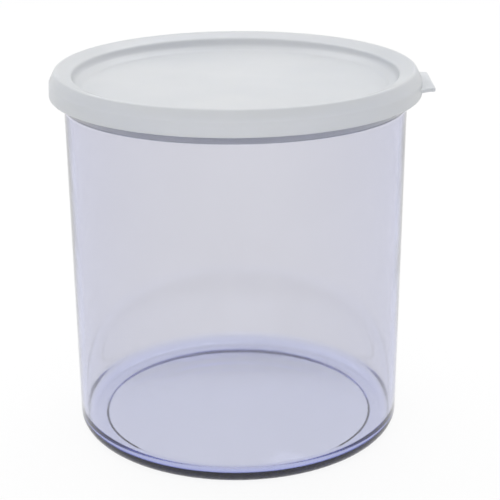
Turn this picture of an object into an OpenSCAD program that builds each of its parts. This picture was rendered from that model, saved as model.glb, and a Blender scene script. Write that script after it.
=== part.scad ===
// Round clear container with a soft sealing lid that presses over its rim, for proofing dough.
// Units are millimetres. +Z is up, and the origin is the centre of the foot on the table.
// The pull tab of the lid points along +X.

/* [Container] */
// Outside radius of the wall, measured at the table
foot_r = 75.5; // [60:0.5:95]
// Height of the container without its lid
container_h = 167.2; // [110:0.2:230]
// How much wider the wall's radius is at the rim than at the table
wall_draft = 1.1; // [0:0.1:4]
// Thickness of the side wall
wall_t = 2.3; // [1.6:0.1:3.2]
// Thickness of the floor above the hollow underneath
floor_t = 2.6; // [1.6:0.1:4]
// Rounding of the outer edge at the foot
foot_round = 7.3; // [4:0.1:9]
// Rounding inside, where the floor meets the wall
bowl_round = 6.2; // [4:0.1:9]

/* [Foot ring] */
// Inside radius of the foot ring
ring_inner_r = 63.8; // [50:0.2:66]
// Depth of the hollow under the floor, inside the foot ring
hollow_depth = 1.2; // [0.6:0.1:2]
// Width of the slope from the hollow down to the foot ring
ring_slope_w = 0.9; // [0.4:0.1:2]

/* [Rim] */
// How far the rim stands out from the wall
rim_w = 4.4; // [3.6:0.1:6]
// Height of the rim's upright outer band
rim_band_h = 4.6; // [3:0.1:7]
// Width of the slope above the outer band
rim_shoulder_w = 1.9; // [1.4:0.1:2.4]
// Height of the slope above the outer band
rim_shoulder_h = 3.6; // [2.4:0.1:5]
// Width of the flat land on top of the rim, where the lid rests
rim_land_w = 0.7; // [0.4:0.1:1.2]
// Drop from the land to the rim's inner edge
rim_lip_drop = 1.9; // [1.6:0.1:2.6]
// Height of the thick flared root below the outer band
root_h = 5.3; // [4:0.1:8]
// Rounding where the wall turns into the flared root
root_round = 5; // [3:0.2:8]

/* [Lid] */
// Thickness of the lid over the rim
lid_t = 1.5; // [1.1:0.1:2]
// Thickness of the flat panel
panel_t = 1.4; // [1:0.1:2]
// Depth of the panel below the top of the crest
panel_drop = 7.9; // [6:0.1:10]
// How far the skirt reaches down from the rim's land
skirt_drop = 9.2; // [7:0.1:12]
// Outward flare of the skirt towards its lower edge
skirt_flare = 0.25; // [0:0.05:0.6]
// Fall of the crest's top towards the plug wall, in degrees
crest_fall = 20; // [14:1:24]
// Width of the cove between the panel and the plug wall
cove_w = 4.2; // [2:0.1:7]
// Height of the cove
cove_h = 2.4; // [1.4:0.1:3.2]
// Rounding where the panel turns up into the cove
cove_round = 6; // [2:0.2:9]
// Lean of the plug wall towards the panel
plug_lean = 0.9; // [0.4:0.1:2]

/* [Fit] */
// Clearance between the lid's skirt and the rim's outer band
skirt_gap = 0.5; // [0.3:0.05:0.9]
// Clearance between the lid's plug wall and the inside of the rim
plug_gap = 0.35; // [0.3:0.05:0.8]

/* [Pull tab] */
// Width of the pull tab along its outer edge
tab_w = 33; // [20:1:44]
// How far the tab stands out from the skirt
tab_reach = 4.5; // [3.5:0.1:10]
// Thickness of the tab
tab_t = 1.6; // [1:0.1:2.4]
// Height of the tab's underside above the skirt's lower edge
tab_lift = 2.4; // [1:0.1:4]
// Rounding of the tab's two outer corners
tab_round = 2.4; // [0.5:0.1:3]
// Width of the flare on each side where the tab leaves the skirt
tab_flare = 4; // [2:0.5:6]

/* [Smoothness] */
// Facets around the whole circle
facets = 180; // [60:12:360]
// Steps along each rounded corner
round_steps = 6; // [3:1:12]

/* [Hidden] */

// Small rounding that takes the sharpness off a moulded edge
edge_round = 0.4;
// Overlap that joins the tab to the skirt
weld = 0.75;

// Container
wall_top_r = foot_r + wall_draft;
inner_foot_r = foot_r - wall_t;
inner_top_r = wall_top_r - wall_t;
floor_z = hollow_depth + floor_t;

// Rim, from the land downwards
rim_r = wall_top_r + rim_w;
land_z = container_h;
land_outer_r = rim_r - rim_shoulder_w;
land_inner_r = land_outer_r - rim_land_w;
band_top_z = land_z - rim_shoulder_h;
band_low_z = band_top_z - rim_band_h;
root_low_z = band_low_z - root_h;

// Lid, which takes its places from the rim
skirt_inner_r = rim_r + skirt_gap;
skirt_r = skirt_inner_r + lid_t;
skirt_low_z = land_z - skirt_drop;
seat_outer_r = land_outer_r + skirt_gap;
seat_inner_r = land_inner_r - skirt_gap;
crest_r = seat_outer_r + lid_t * 0.28;
crest_z = land_z + lid_t * 1.46;
plug_r = inner_top_r - plug_gap;
plug_foot_r = plug_r - plug_lean / 2;
plug_inner_r = plug_r - 0.75 * lid_t;
plug_inner_foot_r = plug_inner_r - plug_lean;
crest_inner_z = crest_z - (crest_r - plug_inner_r) * tan(crest_fall);
lip_z = land_z - (seat_inner_r - plug_r) * tan(crest_fall);
panel_z = crest_z - panel_drop;
panel_low_z = panel_z - panel_t;

// Pull tab
tab_low_z = skirt_low_z + tab_lift;
tab_end_x = skirt_r + tab_reach;
tab_side_x = tab_end_x - tab_reach * 0.6;

// Arc that replaces the corner b between its neighbours a and c, never longer than the sides allow
function corner(a, b, c, want) =
    let (
        u = (a - b) / norm(a - b),
        v = (c - b) / norm(c - b),
        half = acos(u * v) / 2,
        room = 0.49 * min(norm(a - b), norm(c - b)),
        rad = min(want, room * tan(half)),
        centre = b + (u + v) / norm(u + v) * rad / sin(half),
        from = b + u * rad / tan(half) - centre,
        to = b + v * rad / tan(half) - centre,
        start = atan2(from[1], from[0]),
        turn = (atan2(to[1], to[0]) - start + 540) % 360 - 180
    )
    [for (i = [0:round_steps]) centre + rad * [cos(start + turn * i / round_steps),
                                               sin(start + turn * i / round_steps)]];

// Closed outline through points [x, y, rounding], with each corner rounded by its third value
function rounded(p) =
    let (n = len(p), at = function (k) [p[(k + n) % n][0], p[(k + n) % n][1]])
    [for (k = [0:n - 1]) each (p[k][2] > 0 ? corner(at(k - 1), at(k), at(k + 1), p[k][2]) : [at(k)])];

// Half section of the container, from the middle of its underside outwards and back along the inside
container_section = rounded([
    [0, hollow_depth, 0],
    [ring_inner_r - ring_slope_w, hollow_depth, edge_round],
    [ring_inner_r, 0, edge_round],
    [foot_r, 0, foot_round],
    [wall_top_r, root_low_z, root_round],
    [rim_r, band_low_z, edge_round],
    [rim_r, band_top_z, 2],
    [land_outer_r, land_z, edge_round],
    [land_inner_r, land_z, edge_round],
    [inner_top_r, land_z - rim_lip_drop, edge_round],
    [inner_foot_r, floor_z, bowl_round],
    [0, floor_z, 0],
]);

// Half section of the lid, from the middle of its underside outwards and back over its top
lid_section = rounded([
    [0, panel_low_z, 0],
    [plug_foot_r - cove_w, panel_low_z, cove_round + panel_t],
    [plug_foot_r, panel_low_z + cove_h, cove_round],
    [plug_r, lip_z, edge_round],
    [seat_inner_r, land_z, edge_round],
    [seat_outer_r, land_z, edge_round],
    [skirt_inner_r, band_top_z, 2],
    [skirt_inner_r, skirt_low_z, edge_round],
    [skirt_r, skirt_low_z, edge_round * 1.5],
    [skirt_r - skirt_flare, band_top_z + lid_t * 0.4, 2],
    [crest_r, crest_z, 1.4],
    [plug_inner_r, crest_inner_z, 1.6],
    [plug_inner_foot_r, panel_z + cove_h, cove_round],
    [plug_inner_foot_r - cove_w, panel_z, cove_round],
    [0, panel_z, 0],
]);

// Plan of the pull tab, with a flare on each side where it leaves the skirt
tab_plan = rounded([
    [0, -tab_w / 2, 0],
    [skirt_inner_r - tab_flare / 2, -tab_w / 2 - tab_flare, 0],
    [tab_side_x, -tab_w / 2, tab_flare],
    [tab_end_x, -tab_w / 2, tab_round],
    [tab_end_x, tab_w / 2, tab_round],
    [tab_side_x, tab_w / 2, tab_flare],
    [skirt_inner_r - tab_flare / 2, tab_w / 2 + tab_flare, 0],
    [0, tab_w / 2, 0],
]);

// One clear moulding: floor with its foot ring, straight wall and thick rim
module container() {
    color([0.80, 0.81, 0.90, 0.5])
    rotate_extrude($fn = facets) polygon(container_section);
}

// Flat lug on the skirt for peeling the lid off, hollowed where the rim goes
module pull_tab() {
    difference() {
        translate([0, 0, tab_low_z]) linear_extrude(tab_t) polygon(tab_plan);
        translate([0, 0, tab_low_z - tab_t])
        cylinder(r = skirt_inner_r + weld, h = 3 * tab_t, $fn = facets);
    }
}

// One milky moulding: panel, plug wall, crest over the rim, skirt and pull tab
module lid() {
    color([0.85, 0.87, 0.88, 0.8])
    union() {
        rotate_extrude($fn = facets) polygon(lid_section);
        pull_tab();
    }
}

container();
lid();
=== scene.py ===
import math

import bpy
from bpy.props import FloatProperty, FloatVectorProperty, IntProperty, PointerProperty
from mathutils import Matrix, Vector


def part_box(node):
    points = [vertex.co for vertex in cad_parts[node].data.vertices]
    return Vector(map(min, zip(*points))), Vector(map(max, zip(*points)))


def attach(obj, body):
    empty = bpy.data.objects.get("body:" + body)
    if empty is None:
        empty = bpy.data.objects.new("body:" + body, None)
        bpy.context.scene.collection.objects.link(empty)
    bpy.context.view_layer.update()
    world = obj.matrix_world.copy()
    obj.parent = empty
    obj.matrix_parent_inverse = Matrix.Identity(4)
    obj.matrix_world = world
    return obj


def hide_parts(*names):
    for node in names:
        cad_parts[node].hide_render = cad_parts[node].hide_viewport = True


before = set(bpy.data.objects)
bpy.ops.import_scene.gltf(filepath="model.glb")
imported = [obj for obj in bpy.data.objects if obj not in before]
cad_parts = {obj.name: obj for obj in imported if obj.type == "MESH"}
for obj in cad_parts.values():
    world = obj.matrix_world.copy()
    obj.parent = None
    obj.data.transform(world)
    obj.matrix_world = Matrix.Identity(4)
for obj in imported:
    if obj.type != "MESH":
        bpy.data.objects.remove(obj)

bl_info = {
    "name": "Dough proofing container",
    "version": (1, 0, 0),
    "blender": (4, 5, 0),
    "location": "3D View > Sidebar > Container",
    "description": "Round clear tub with a milky press-on lid, on a pale studio floor",
    "category": "Object",
}

MM = 0.001
TUB_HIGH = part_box("container")[1]
LID_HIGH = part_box("lid")[1]

# Roundings that every moulding of this kind has
EDGE_ROUND = 0.4 * MM
SKIRT_EDGE_ROUND = 1.5 * EDGE_ROUND
BAND_ROUND = 2 * MM
CREST_ROUND = 1.4 * MM
CREST_INNER_ROUND = 1.6 * MM
TAB_EDGE_ROUND = 0.3 * MM

# Places on the lid, as shares of its thickness
CREST_OUT = 0.28
CREST_UP = 1.46
PLUG_SHARE = 0.75
FLARE_START = 0.4

# Share of the tab's reach that its outer corners take up
TAB_CORNER_SHARE = 0.6
# Most of a side that the rounding of one corner may take
SIDE_SHARE = 0.49
# Points closer than this are one point
SAME_POINT = 0.001 * MM
# Edges that turn more than this stay sharp in the shading
SHARP_TURN = math.radians(30)

# Sockets of a Mix node for colours
MIX_SHARE, MIX_FIRST, MIX_SECOND, MIX_RESULT = 0, 6, 7, 2

# The photograph's camera, which takes in the whole container on a 36 mm wide sensor
CAMERA_PLACE = (0.00604, -0.61037, 0.30241)
CAMERA_LOOKS_DOWN = math.radians(19.89)
CAMERA_ROLL = -0.0057
CAMERA_LENS = 100.14
SENSOR_WIDTH = 36.0

# Soft square lamps: name, place, side and power
LAMP_TARGET = (0, 0, 0.12)
LAMPS = (
    ("lamp_left", (-0.45, 0.55, 0.95), 0.6, 2.4),
    ("lamp_right", (0.28, 0.60, 1.00), 0.6, 2.4),
    ("lamp_front", (-0.30, -1.60, 0.50), 1.2, 2.6),
)
WORLD_LIGHT = 0.95
FLOOR_SIZE = 8.0
FLOOR_DROP = 0.05 * MM
# Share of the floor that shows as plain white, while the rest takes the shadow
FLOOR_GLOW = 0.9
# Light is guided a long way inside the clear wall, so it may turn often
LIGHT_TURNS = 64
BRIGHTEST_SPARK = 2.0


def length(label, hint, mm):
    """Length property in metres, written down in millimetres."""
    return FloatProperty(name=label, description=hint, default=mm * MM, unit="LENGTH", precision=5)


def colour(label, hint, value):
    """Colour property in linear light."""
    return FloatVectorProperty(name=label, description=hint, default=value, subtype="COLOR",
                               size=3, min=0.0, max=1.0)


class TubSizes(bpy.types.PropertyGroup):
    foot_r: length("Foot radius", "Outside radius of the wall at the table", 75.5)
    wall_draft: length("Wall draft", "How much wider the wall is at the rim than at the table", 1.1)
    wall_t: length("Wall", "Thickness of the side wall", 2.3)
    floor_t: length("Floor", "Thickness of the floor", 2.6)
    foot_round: length("Foot rounding", "Rounding of the outer edge at the foot", 7.3)
    bowl_round: length("Bowl rounding", "Rounding inside, where the floor meets the wall", 6.2)
    ring_inner_r: length("Ring radius", "Inside radius of the foot ring", 63.8)
    ring_slope_w: length("Ring slope", "Width of the slope from the hollow to the foot ring", 0.9)
    hollow_depth: length("Hollow", "Depth of the hollow under the floor", 1.2)
    rim_shoulder_w: length("Shoulder width", "Width of the slope above the rim's band", 1.9)
    rim_shoulder_h: length("Shoulder height", "Height of the slope above the rim's band", 3.6)
    rim_land_w: length("Land", "Width of the flat land on top of the rim", 0.7)
    rim_lip_drop: length("Lip drop", "Drop from the land to the rim's inner edge", 1.9)
    rim_band_h: length("Band", "Height of the rim's upright band", 4.6)
    root_h: length("Root", "Height of the flared root below the band", 5.3)
    root_round: length("Root rounding", "Rounding where the wall turns into the root", 5.0)


class LidSizes(bpy.types.PropertyGroup):
    lid_t: length("Lid", "Thickness of the lid over the rim", 1.5)
    panel_t: length("Panel", "Thickness of the flat panel", 1.4)
    panel_drop: length("Panel drop", "Depth of the panel below the top of the crest", 7.9)
    skirt_drop: length("Skirt", "How far the skirt reaches down from the land", 9.2)
    skirt_flare: length("Skirt flare", "Outward flare of the skirt towards its edge", 0.25)
    crest_fall: FloatProperty(name="Crest fall", description="Fall of the crest towards the plug wall",
                              default=math.radians(20), subtype="ANGLE", unit="ROTATION")
    cove_w: length("Cove width", "Width of the cove between panel and plug wall", 4.2)
    cove_h: length("Cove height", "Height of the cove", 2.4)
    cove_round: length("Cove rounding", "Rounding where the panel turns into the cove", 6.0)
    plug_lean: length("Plug lean", "Lean of the plug wall towards the panel", 0.9)
    skirt_gap: length("Skirt gap", "Clearance between skirt and rim", 0.5)
    plug_gap: length("Plug gap", "Clearance between plug wall and rim", 0.35)
    tab_w: length("Tab width", "Width of the pull tab along its outer edge", 33.0)
    tab_t: length("Tab thickness", "Thickness of the pull tab", 1.6)
    tab_lift: length("Tab lift", "Height of the tab's underside above the skirt's edge", 2.4)
    tab_round: length("Tab rounding", "Rounding of the tab's two outer corners", 2.4)
    tab_flare: length("Tab flare", "Width of the flare where the tab leaves the skirt", 4.0)


class Looks(bpy.types.PropertyGroup):
    tub_wall: colour("Tub wall", "Light that the faces of the clear wall let through",
                     (0.965, 0.950, 0.885))
    # Floor colour: partly the thicker floor's own bluer tint, partly painted light, lighter to offset the
    # shade under the tub
    tub_floor_tint_and_painted_light: colour("Tub floor", "Light that the faces of the clear floor let through",
                      (0.978, 0.989, 0.990))
    tub_depth: colour("Tub depth", "Colour of very thick clear plastic", (0.06, 0.14, 0.72))
    tub_density: FloatProperty(name="Tub density", description="Strength of the depth colour, per metre",
                               default=85.0, min=0.0)
    lid_pale: colour("Lid, pale", "Milky plastic where it is palest", (0.810, 0.828, 0.848))
    lid_deep: colour("Lid, deep", "Milky plastic where it is deepest", (0.760, 0.785, 0.815))
    floor: colour("Floor", "Colour of the studio floor", (0.93, 0.93, 0.93))
    turn_steps: IntProperty(name="Turn steps", description="Steps round a full turn",
                            default=256, min=64)
    round_steps: IntProperty(name="Round steps", description="Steps round a corner",
                             default=8, min=3)


def corner(before, at, after, want, steps):
    """Arc that replaces a corner, never longer than its two sides allow."""
    to_before = before - at
    to_after = after - at
    room = SIDE_SHARE * min(to_before.length, to_after.length)
    half = to_before.angle(to_after) / 2
    radius = min(want, room * math.tan(half))
    inward = (to_before.normalized() + to_after.normalized()).normalized()
    centre = at + inward * radius / math.sin(half)
    first = at + to_before.normalized() * radius / math.tan(half) - centre
    turn = first.angle_signed(at + to_after.normalized() * radius / math.tan(half) - centre)
    return [centre + Matrix.Rotation(-turn * k / steps, 2) @ first for k in range(steps + 1)]


def rounded(points, steps):
    """Closed outline through points (x, y, rounding), with each corner rounded."""
    flat = [Vector(point[:2]) for point in points]
    outline = []
    for k, point in enumerate(points):
        if point[2] > 0:
            after = flat[(k + 1) % len(flat)]
            outline += corner(flat[k - 1], flat[k], after, point[2], steps)
        else:
            outline.append(flat[k])
    return outline


def draw_line(name, points):
    """New object whose mesh is one open line of edges, drawn by extruding a vertex."""
    bpy.ops.object.select_all(action="DESELECT")
    bpy.ops.mesh.primitive_plane_add(size=MM, location=points[0])
    piece = bpy.context.object
    piece.name = name
    bpy.ops.object.transform_apply(location=True, rotation=True, scale=True)
    bpy.ops.object.mode_set(mode="EDIT")
    bpy.ops.mesh.select_all(action="SELECT")
    bpy.ops.mesh.merge(type="CENTER")
    for start, end in zip(points, points[1:]):
        bpy.ops.mesh.extrude_vertices_move(TRANSFORM_OT_translate={"value": end - start})
    return piece


def turn_solid(name, section, looks):
    """Closed solid of revolution round +Z, spun from a half section that starts and ends on the axis."""
    outline = rounded(section, looks.round_steps)
    piece = draw_line(name, [Vector((point.x, 0, point.y)) for point in outline])
    bpy.ops.mesh.select_all(action="SELECT")
    bpy.ops.mesh.spin(steps=looks.turn_steps, angle=math.tau, center=(0, 0, 0), axis=(0, 0, 1))
    bpy.ops.mesh.select_all(action="SELECT")
    bpy.ops.mesh.remove_doubles(threshold=SAME_POINT)
    bpy.ops.mesh.normals_make_consistent(inside=False)
    bpy.ops.object.mode_set(mode="OBJECT")
    bpy.ops.object.shade_smooth_by_angle(angle=SHARP_TURN)
    return piece


def rim_places(tub):
    """Radii of the rim's inner edge, its band and both sides of its land, from which the lid is placed."""
    inner_top_r = tub.foot_r + tub.wall_draft - tub.wall_t
    rim_r = TUB_HIGH[0]
    land_outer_r = rim_r - tub.rim_shoulder_w
    return inner_top_r, rim_r, land_outer_r, land_outer_r - tub.rim_land_w


def tub_section(tub):
    """Half section of the tub, from the middle of its underside outwards and back along the inside."""
    land_z = TUB_HIGH[2]
    band_top_z = land_z - tub.rim_shoulder_h
    band_low_z = band_top_z - tub.rim_band_h
    floor_z = tub.hollow_depth + tub.floor_t
    inner_top_r, rim_r, land_outer_r, land_inner_r = rim_places(tub)
    return [
        (0, tub.hollow_depth, 0),
        (tub.ring_inner_r - tub.ring_slope_w, tub.hollow_depth, EDGE_ROUND),
        (tub.ring_inner_r, 0, EDGE_ROUND),
        (tub.foot_r, 0, tub.foot_round),
        (tub.foot_r + tub.wall_draft, band_low_z - tub.root_h, tub.root_round),
        (rim_r, band_low_z, EDGE_ROUND),
        (rim_r, band_top_z, BAND_ROUND),
        (land_outer_r, land_z, EDGE_ROUND),
        (land_inner_r, land_z, EDGE_ROUND),
        (inner_top_r, land_z - tub.rim_lip_drop, EDGE_ROUND),
        (tub.foot_r - tub.wall_t, floor_z, tub.bowl_round),
        (0, floor_z, 0),
    ]


def lid_section(tub, lid):
    """Half section of the lid, from the middle of its underside outwards and back over its top."""
    land_z = TUB_HIGH[2]
    inner_top_r, rim_r, land_outer_r, land_inner_r = rim_places(tub)
    skirt_inner_r = rim_r + lid.skirt_gap
    skirt_r = skirt_inner_r + lid.lid_t
    skirt_low_z = land_z - lid.skirt_drop
    band_top_z = land_z - tub.rim_shoulder_h
    seat_outer_r = land_outer_r + lid.skirt_gap
    seat_inner_r = land_inner_r - lid.skirt_gap
    crest_r = seat_outer_r + lid.lid_t * CREST_OUT
    crest_z = land_z + lid.lid_t * CREST_UP
    plug_r = inner_top_r - lid.plug_gap
    plug_foot_r = plug_r - lid.plug_lean / 2
    plug_inner_r = plug_r - lid.lid_t * PLUG_SHARE
    plug_inner_foot_r = plug_inner_r - lid.plug_lean
    fall = math.tan(lid.crest_fall)
    panel_z = crest_z - lid.panel_drop
    panel_low_z = panel_z - lid.panel_t
    return [
        (0, panel_low_z, 0),
        (plug_foot_r - lid.cove_w, panel_low_z, lid.cove_round + lid.panel_t),
        (plug_foot_r, panel_low_z + lid.cove_h, lid.cove_round),
        (plug_r, land_z - (seat_inner_r - plug_r) * fall, EDGE_ROUND),
        (seat_inner_r, land_z, EDGE_ROUND),
        (seat_outer_r, land_z, EDGE_ROUND),
        (skirt_inner_r, band_top_z, BAND_ROUND),
        (skirt_inner_r, skirt_low_z, EDGE_ROUND),
        (skirt_r, skirt_low_z, SKIRT_EDGE_ROUND),
        (skirt_r - lid.skirt_flare, band_top_z + lid.lid_t * FLARE_START, BAND_ROUND),
        (crest_r, crest_z, CREST_ROUND),
        (plug_inner_r, crest_z - (crest_r - plug_inner_r) * fall, CREST_INNER_ROUND),
        (plug_inner_foot_r, panel_z + lid.cove_h, lid.cove_round),
        (plug_inner_foot_r - lid.cove_w, panel_z, lid.cove_round),
        (0, panel_z, 0),
    ]


def tab_outline(tub, lid, looks):
    """Plan of the pull tab, whose inner edge is an arc inside the skirt's own thickness."""
    half = lid.tab_w / 2
    skirt_inner_r = TUB_HIGH[0] + lid.skirt_gap
    end_x = LID_HIGH[0]
    side_x = end_x - (end_x - skirt_inner_r - lid.lid_t) * TAB_CORNER_SHARE
    root_x = skirt_inner_r - lid.tab_flare / 2
    arc_r = skirt_inner_r + lid.lid_t / 2
    spread = math.atan2(half + lid.tab_flare, root_x)
    arc_steps = 3 * looks.round_steps
    angles = [spread - 2 * spread * k / arc_steps for k in range(arc_steps + 1)]
    inner = [(arc_r * math.cos(angle), arc_r * math.sin(angle), 0) for angle in angles]
    return rounded(inner + [
        (side_x, -half, lid.tab_flare),
        (end_x, -half, lid.tab_round),
        (end_x, half, lid.tab_round),
        (side_x, half, lid.tab_flare),
    ], looks.round_steps)


def make_tab(tub, lid, looks):
    """Flat lug for peeling the lid off: its plan is filled, extruded and bevelled."""
    low_z = TUB_HIGH[2] - lid.skirt_drop + lid.tab_lift
    outline = tab_outline(tub, lid, looks)
    tab = draw_line("tab", [Vector((point.x, point.y, low_z)) for point in outline])
    bpy.ops.mesh.select_all(action="SELECT")
    bpy.ops.mesh.edge_face_add()
    bpy.ops.mesh.extrude_region_move(TRANSFORM_OT_translate={"value": (0, 0, lid.tab_t)})
    bpy.ops.mesh.select_all(action="SELECT")
    bpy.ops.mesh.normals_make_consistent(inside=False)
    bpy.ops.object.mode_set(mode="OBJECT")
    bevel = tab.modifiers.new("edges", "BEVEL")
    bevel.width = TAB_EDGE_ROUND
    bevel.segments = 3
    bevel.limit_method = "ANGLE"
    bevel.angle_limit = math.radians(60)
    bpy.ops.object.modifier_apply(modifier=bevel.name)
    return tab


def join_solids(main, extra):
    """Unite a second solid with the first and delete it."""
    bpy.ops.object.select_all(action="DESELECT")
    bpy.context.view_layer.objects.active = main
    main.select_set(True)
    faces = len(main.data.polygons)
    union = main.modifiers.new("union", "BOOLEAN")
    union.operation = "UNION"
    union.solver = "EXACT"
    union.object = extra
    bpy.ops.object.modifier_apply(modifier=union.name)
    if len(main.data.polygons) <= faces:
        raise RuntimeError(f"{extra.name} was not united with {main.name}")
    bpy.data.objects.remove(extra, do_unlink=True)
    bpy.ops.object.shade_smooth_by_angle(angle=SHARP_TURN)


def add_node(tree, kind, place, **values):
    """New shader node at a place, with attributes set by name."""
    node = tree.nodes.new(kind)
    node.location = place
    for name, value in values.items():
        setattr(node, name, value)
    return node


def remap(tree, source, low, high, to_low, to_high, place):
    """Map Range node fed by a socket; returns its result."""
    node = add_node(tree, "ShaderNodeMapRange", place)
    node.inputs["From Min"].default_value = low
    node.inputs["From Max"].default_value = high
    for name, value in (("To Min", to_low), ("To Max", to_high)):
        if isinstance(value, bpy.types.NodeSocket):
            tree.links.new(value, node.inputs[name])
        else:
            node.inputs[name].default_value = value
    tree.links.new(source, node.inputs["Value"])
    return node.outputs["Result"]


def surface_group():
    """Node group for a moulded surface: slow shade changes, faint handling scuffs and fine grain."""
    group = bpy.data.node_groups.new("moulded_surface", "ShaderNodeTree")
    face = group.interface
    for name in ("Pale Colour", "Deep Colour"):
        face.new_socket(name=name, in_out="INPUT", socket_type="NodeSocketColor")
    for name in ("Smooth", "Rough", "Grain Scale", "Scuffs"):
        face.new_socket(name=name, in_out="INPUT", socket_type="NodeSocketFloat")
    face.new_socket(name="Colour", in_out="OUTPUT", socket_type="NodeSocketColor")
    for name in ("Roughness", "Height"):
        face.new_socket(name=name, in_out="OUTPUT", socket_type="NodeSocketFloat")
    links = group.links
    given = add_node(group, "NodeGroupInput", (-900, 0))
    result = add_node(group, "NodeGroupOutput", (700, 0))
    place = add_node(group, "ShaderNodeTexCoord", (-900, 400))

    shade = add_node(group, "ShaderNodeTexNoise", (-600, 400))
    shade.inputs["Scale"].default_value = 16.0
    shade.inputs["Detail"].default_value = 3.0
    links.new(place.outputs["Object"], shade.inputs["Vector"])
    blend = add_node(group, "ShaderNodeMix", (-100, 400), data_type="RGBA")
    share = remap(group, shade.outputs["Fac"], 0.35, 0.65, 0.0, 1.0, (-350, 400))
    links.new(share, blend.inputs[MIX_SHARE])
    links.new(given.outputs["Pale Colour"], blend.inputs[MIX_FIRST])
    links.new(given.outputs["Deep Colour"], blend.inputs[MIX_SECOND])
    links.new(blend.outputs[MIX_RESULT], result.inputs["Colour"])

    patches = add_node(group, "ShaderNodeTexNoise", (-600, 100))
    patches.inputs["Scale"].default_value = 45.0
    patches.inputs["Detail"].default_value = 5.0
    links.new(place.outputs["Object"], patches.inputs["Vector"])
    satin = remap(group, patches.outputs["Fac"], 0.3, 0.7, given.outputs["Smooth"],
                  given.outputs["Rough"], (-350, 100))

    stretch = add_node(group, "ShaderNodeMapping", (-750, -150))
    stretch.inputs["Rotation"].default_value = (0.4, 0.2, 0.7)
    stretch.inputs["Scale"].default_value = (60.0, 900.0, 60.0)
    links.new(place.outputs["Object"], stretch.inputs["Vector"])
    lines = add_node(group, "ShaderNodeTexNoise", (-600, -150))
    lines.inputs["Scale"].default_value = 1.0
    lines.inputs["Detail"].default_value = 2.0
    links.new(stretch.outputs["Vector"], lines.inputs["Vector"])
    scuffs = remap(group, lines.outputs["Fac"], 0.66, 0.74, 0.0, given.outputs["Scuffs"], (-350, -150))
    total = add_node(group, "ShaderNodeMath", (100, 0), operation="ADD", use_clamp=True)
    links.new(satin, total.inputs[0])
    links.new(scuffs, total.inputs[1])
    links.new(total.outputs[0], result.inputs["Roughness"])

    grain = add_node(group, "ShaderNodeTexNoise", (-350, -450))
    grain.inputs["Detail"].default_value = 2.0
    links.new(place.outputs["Object"], grain.inputs["Vector"])
    links.new(given.outputs["Grain Scale"], grain.inputs["Scale"])
    links.new(grain.outputs["Fac"], result.inputs["Height"])
    return group


def plastic(name, pale, deep, smooth, rough, grain_scale, grain_depth, scuffs):
    """Material with a Principled shader fed by the moulded surface group; returns it and its shader."""
    material = bpy.data.materials.new(name)
    material.use_nodes = True
    tree = material.node_tree
    shader = tree.nodes["Principled BSDF"]
    group = bpy.data.node_groups.get("moulded_surface") or surface_group()
    surface = add_node(tree, "ShaderNodeGroup", (-600, 200), node_tree=group)
    for socket, value in (("Pale Colour", (*pale, 1)), ("Deep Colour", (*deep, 1)), ("Smooth", smooth),
                          ("Rough", rough), ("Grain Scale", grain_scale), ("Scuffs", scuffs)):
        surface.inputs[socket].default_value = value
    bump = add_node(tree, "ShaderNodeBump", (-300, -200))
    bump.inputs["Strength"].default_value = 1.0
    bump.inputs["Distance"].default_value = grain_depth
    tree.links.new(surface.outputs["Colour"], shader.inputs["Base Color"])
    tree.links.new(surface.outputs["Roughness"], shader.inputs["Roughness"])
    tree.links.new(surface.outputs["Height"], bump.inputs["Height"])
    tree.links.new(bump.outputs["Normal"], shader.inputs["Normal"])
    return material, shader


def clear_plastic(looks):
    """Polished clear plastic that deepens where light travels far inside it. Its floor is coloured bluer,
    as the thicker floor's own tint, and also lighter, as painted light that offsets the shade under the
    tub.
    """
    pale = tuple(looks.tub_wall)
    deep = tuple(0.985 * value for value in pale)
    material, shader = plastic("clear_tub", pale, deep, smooth=0.02, rough=0.05, grain_scale=60.0,
                               grain_depth=0.02 * MM, scuffs=0.05)
    tree = material.node_tree
    place = add_node(tree, "ShaderNodeTexCoord", (-900, 600))
    height = add_node(tree, "ShaderNodeSeparateXYZ", (-700, 600))
    tree.links.new(place.outputs["Object"], height.inputs[0])
    # Painted light: the floor, up to 4.5 mm and fading out by 9 mm, takes a lighter, bluer colour. The
    # blue is partly its own tint; the extra brightness offsets the shade beneath it.
    floor_share = remap(tree, height.outputs["Z"], 4.5 * MM, 9 * MM, 1.0, 0.0, (-500, 600))
    floor_tint_and_painted_light = add_node(tree, "ShaderNodeMix", (-250, 500), data_type="RGBA")
    floor_tint_and_painted_light.inputs[MIX_SECOND].default_value = (*looks.tub_floor_tint_and_painted_light, 1)
    tree.links.new(floor_share, floor_tint_and_painted_light.inputs[MIX_SHARE])
    tree.links.new(shader.inputs["Base Color"].links[0].from_socket, floor_tint_and_painted_light.inputs[MIX_FIRST])
    tree.links.new(floor_tint_and_painted_light.outputs[MIX_RESULT], shader.inputs["Base Color"])
    shader.inputs["Transmission Weight"].default_value = 1.0
    shader.inputs["IOR"].default_value = 1.58
    depth = add_node(tree, "ShaderNodeVolumeAbsorption", (0, -400))
    depth.inputs["Color"].default_value = (*looks.tub_depth, 1)
    depth.inputs["Density"].default_value = looks.tub_density
    tree.links.new(depth.outputs["Volume"], tree.nodes["Material Output"].inputs["Volume"])
    return material


def milky_plastic(looks):
    """Satin milky plastic that lets a little light and a soft shadow of the rim through."""
    material, shader = plastic("milky_lid", looks.lid_pale, looks.lid_deep, smooth=0.33, rough=0.38,
                               grain_scale=500.0, grain_depth=0.003 * MM, scuffs=0.02)
    shader.inputs["Transmission Weight"].default_value = 0.42
    shader.inputs["IOR"].default_value = 1.5
    shader.inputs["Subsurface Weight"].default_value = 0.25
    shader.inputs["Subsurface Radius"].default_value = (1.0, 1.0, 1.1)
    shader.inputs["Subsurface Scale"].default_value = 2 * MM
    return material


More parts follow.
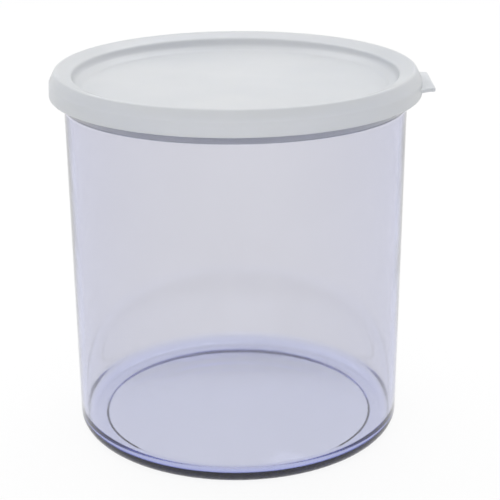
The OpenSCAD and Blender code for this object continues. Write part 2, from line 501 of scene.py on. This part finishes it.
class PROOFING_OT_tub(bpy.types.Operator):
    """Turn the clear tub: floor, foot ring, straight wall and thick rim"""
    bl_idname = "proofing.make_tub"
    bl_label = "Make tub"

    def execute(self, context):
        looks = context.scene.proofing_looks
        tub = turn_solid("clear_tub", tub_section(context.scene.proofing_tub), looks)
        tub.data.materials.append(clear_plastic(looks))
        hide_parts("container")
        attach(tub, "tub")
        return {"FINISHED"}


class PROOFING_OT_lid(bpy.types.Operator):
    """Turn the milky lid and unite it with its pull tab"""
    bl_idname = "proofing.make_lid"
    bl_label = "Make lid"

    def execute(self, context):
        scene = context.scene
        looks = scene.proofing_looks
        lid = turn_solid("milky_lid", lid_section(scene.proofing_tub, scene.proofing_lid), looks)
        join_solids(lid, make_tab(scene.proofing_tub, scene.proofing_lid, looks))
        lid.data.materials.append(milky_plastic(looks))
        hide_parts("lid")
        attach(lid, "lid")
        return {"FINISHED"}


def seen_directly(tree, place):
    """Mask that is 1 for camera, glossy and transmission rays and 0 for the rays that light things."""
    rays = add_node(tree, "ShaderNodeLightPath", place)
    left, top = place
    first = add_node(tree, "ShaderNodeMath", (left + 200, top), operation="ADD")
    second = add_node(tree, "ShaderNodeMath", (left + 400, top), operation="ADD", use_clamp=True)
    tree.links.new(rays.outputs["Is Camera Ray"], first.inputs[0])
    tree.links.new(rays.outputs["Is Glossy Ray"], first.inputs[1])
    tree.links.new(first.outputs[0], second.inputs[0])
    tree.links.new(rays.outputs["Is Transmission Ray"], second.inputs[1])
    return second.outputs[0]


def make_world(scene):
    """White backdrop that lights the object a little less than it shows."""
    world = bpy.data.worlds.new("studio")
    scene.world = world
    world.use_nodes = True
    tree = world.node_tree
    light = tree.nodes["Background"]
    light.inputs["Color"].default_value = (1, 1, 1, 1)
    light.inputs["Strength"].default_value = WORLD_LIGHT
    shown = add_node(tree, "ShaderNodeBackground", (0, -200))
    shown.inputs["Color"].default_value = (1, 1, 1, 1)
    shown.inputs["Strength"].default_value = 1.0
    mix = add_node(tree, "ShaderNodeMixShader", (250, 0))
    tree.links.new(seen_directly(tree, (-700, 200)), mix.inputs[0])
    tree.links.new(light.outputs[0], mix.inputs[1])
    tree.links.new(shown.outputs[0], mix.inputs[2])
    tree.links.new(mix.outputs[0], tree.nodes["World Output"].inputs["Surface"])


def floor_material(looks):
    """Pale floor that shows as white and keeps a soft part of the object's shadow."""
    material = bpy.data.materials.new("studio_floor")
    material.use_nodes = True
    tree = material.node_tree
    matte = tree.nodes["Principled BSDF"]
    matte.inputs["Base Color"].default_value = (*looks.floor, 1)
    matte.inputs["Roughness"].default_value = 1.0
    matte.inputs["Specular IOR Level"].default_value = 0.0
    glow = add_node(tree, "ShaderNodeEmission", (0, -300))
    glow.inputs["Strength"].default_value = 1.0
    share = add_node(tree, "ShaderNodeMath", (-100, 300), operation="MULTIPLY")
    share.inputs[1].default_value = FLOOR_GLOW
    mix = add_node(tree, "ShaderNodeMixShader", (300, 0))
    tree.links.new(seen_directly(tree, (-700, 300)), share.inputs[0])
    tree.links.new(share.outputs[0], mix.inputs[0])
    tree.links.new(matte.outputs[0], mix.inputs[1])
    tree.links.new(glow.outputs[0], mix.inputs[2])
    tree.links.new(mix.outputs[0], tree.nodes["Material Output"].inputs["Surface"])
    return material


def add_lamp(name, place, side, power):
    """Soft square lamp aimed at the upper part of the container."""
    bpy.ops.object.light_add(type="AREA", location=place)
    lamp = bpy.context.object
    lamp.name = name
    lamp.rotation_euler = (Vector(LAMP_TARGET) - Vector(place)).to_track_quat("-Z", "Y").to_euler()
    lamp.data.size = side
    lamp.data.energy = power


def add_camera(scene):
    """Camera at the photograph's place, lens and tilt."""
    bpy.ops.object.camera_add(location=CAMERA_PLACE)
    camera = bpy.context.object
    tilt = Matrix.Rotation(math.pi / 2 - CAMERA_LOOKS_DOWN, 3, "X")
    camera.rotation_euler = (tilt @ Matrix.Rotation(CAMERA_ROLL, 3, "Z")).to_euler()
    camera.data.sensor_width = SENSOR_WIDTH
    camera.data.lens = CAMERA_LENS
    scene.camera = camera


class PROOFING_OT_stage(bpy.types.Operator):
    """Set up the pale floor, the white backdrop, three soft lamps and the camera"""
    bl_idname = "proofing.make_stage"
    bl_label = "Make stage"

    def execute(self, context):
        scene = context.scene
        bpy.ops.object.select_all(action="DESELECT")
        bpy.ops.mesh.primitive_plane_add(size=FLOOR_SIZE, location=(0, 0, -FLOOR_DROP))
        floor = bpy.context.object
        floor.name = "studio_floor"
        floor.data.materials.append(floor_material(scene.proofing_looks))
        make_world(scene)
        for lamp in LAMPS:
            add_lamp(*lamp)
        add_camera(scene)
        scene.view_settings.view_transform = "Standard"
        scene.cycles.sample_clamp_indirect = BRIGHTEST_SPARK
        scene.cycles.max_bounces = LIGHT_TURNS
        scene.cycles.glossy_bounces = LIGHT_TURNS
        scene.cycles.transmission_bounces = LIGHT_TURNS
        return {"FINISHED"}


class PROOFING_PT_panel(bpy.types.Panel):
    """Lists the makers of the tub, the lid and the stage, with their sizes and colours"""
    bl_idname = "PROOFING_PT_panel"
    bl_label = "Dough proofing container"
    bl_space_type = "VIEW_3D"
    bl_region_type = "UI"
    bl_category = "Container"

    def draw(self, context):
        scene = context.scene
        for title, settings, maker in (("Tub", scene.proofing_tub, PROOFING_OT_tub),
                                       ("Lid", scene.proofing_lid, PROOFING_OT_lid),
                                       ("Looks and stage", scene.proofing_looks, PROOFING_OT_stage)):
            box = self.layout.box()
            box.label(text=title)
            for name in settings.__annotations__:
                box.prop(settings, name)
            box.operator(maker.bl_idname)


CLASSES = (TubSizes, LidSizes, Looks, PROOFING_OT_tub, PROOFING_OT_lid, PROOFING_OT_stage,
           PROOFING_PT_panel)


def register():
    for cls in CLASSES:
        bpy.utils.register_class(cls)
    bpy.types.Scene.proofing_tub = PointerProperty(type=TubSizes)
    bpy.types.Scene.proofing_lid = PointerProperty(type=LidSizes)
    bpy.types.Scene.proofing_looks = PointerProperty(type=Looks)


def unregister():
    del bpy.types.Scene.proofing_looks
    del bpy.types.Scene.proofing_lid
    del bpy.types.Scene.proofing_tub
    for cls in reversed(CLASSES):
        bpy.utils.unregister_class(cls)


def main():
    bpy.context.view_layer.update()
    register()
    bpy.ops.proofing.make_tub()
    bpy.ops.proofing.make_lid()
    bpy.ops.proofing.make_stage()
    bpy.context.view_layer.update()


if __name__ == "__main__":
    main()
